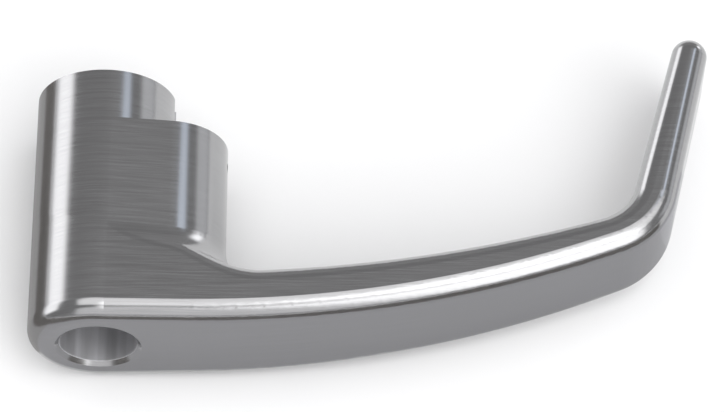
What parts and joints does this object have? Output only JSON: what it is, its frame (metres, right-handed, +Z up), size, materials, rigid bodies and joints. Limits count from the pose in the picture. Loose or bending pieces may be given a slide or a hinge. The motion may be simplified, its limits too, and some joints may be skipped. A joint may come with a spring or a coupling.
{
  "type": "door lever",
  "caption": "One-piece satin steel door lever: a bored round hub with a side housing for lock pins, and a curved, tapering grip whose end bends back towards the door.",
  "frame": {"origin": "middle of the hub's door end, on the axis of the bore", "axes": "+X along the grip, +Y along the hub towards the door, +Z up on an upright door"},
  "size_m": [0.121, 0.0589, 0.025],
  "materials": {
    "satin_steel": "fine satin brushing along the grip and round the hub"
  },
  "bodies": {
    "root": {"lever": "satin_steel"}
  },
  "joints": []
}
